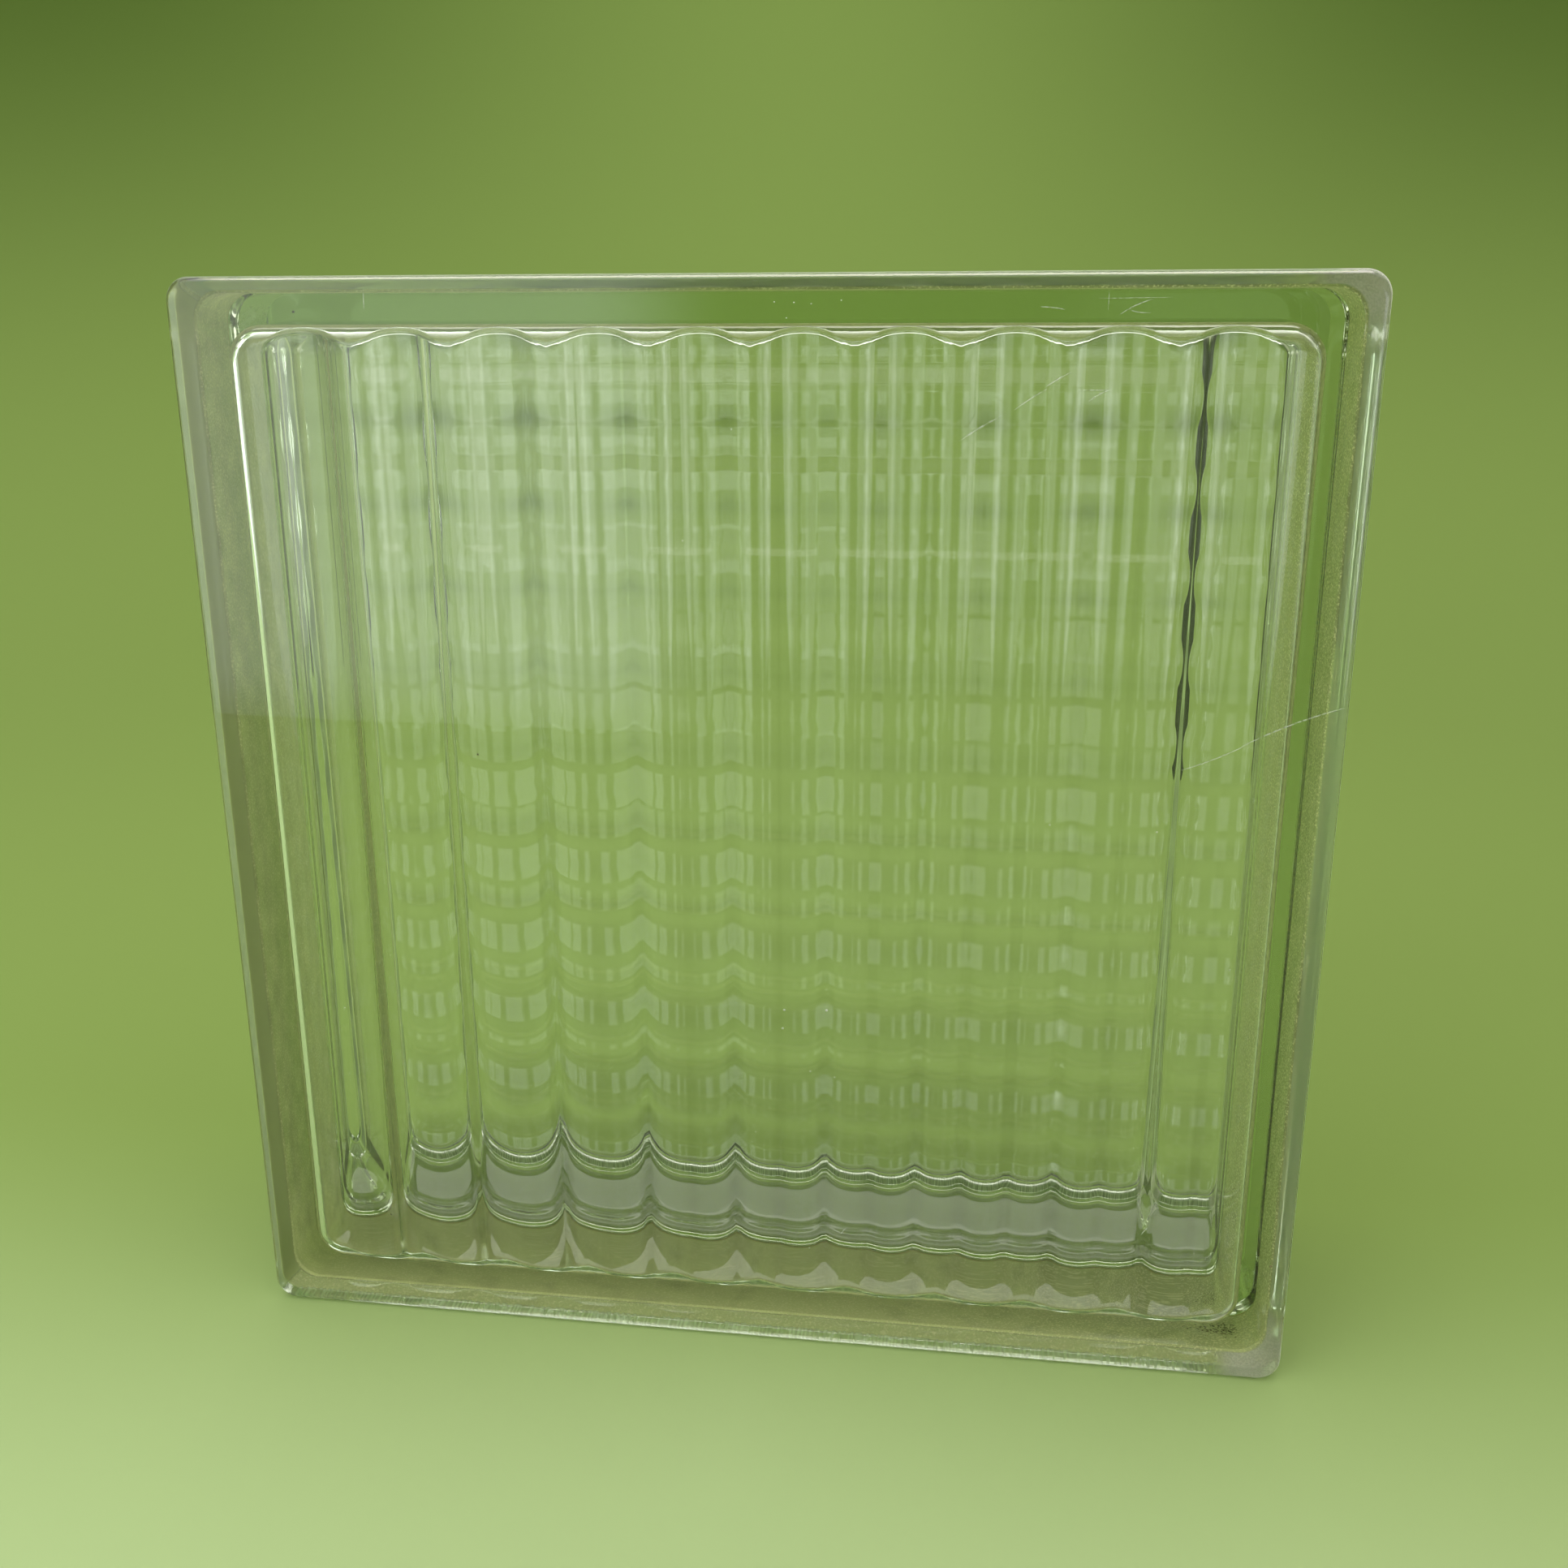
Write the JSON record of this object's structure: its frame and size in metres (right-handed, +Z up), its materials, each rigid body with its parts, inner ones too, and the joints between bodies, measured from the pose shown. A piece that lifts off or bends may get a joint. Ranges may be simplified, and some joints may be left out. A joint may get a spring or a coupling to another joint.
{
  "type": "glass block",
  "caption": "Hollow square glass building block of two fused pressed halves, with crossed inner flutes and a recessed mortar channel round the edge.",
  "frame": {"origin": "under the middle of the block, on the surface it stands on", "axes": "+Z up, +Y through the block from its front face to its back face, +X across the face to the right"},
  "size_m": [0.194, 0.06, 0.194],
  "materials": {
    "pressed_glass": "clear soda-lime glass with a faint green cast, fire-polished faces, dusty sand-coated channel, worn rim"
  },
  "bodies": {
    "root": {"front_half": "pressed_glass", "back_half": "pressed_glass"}
  },
  "joints": []
}
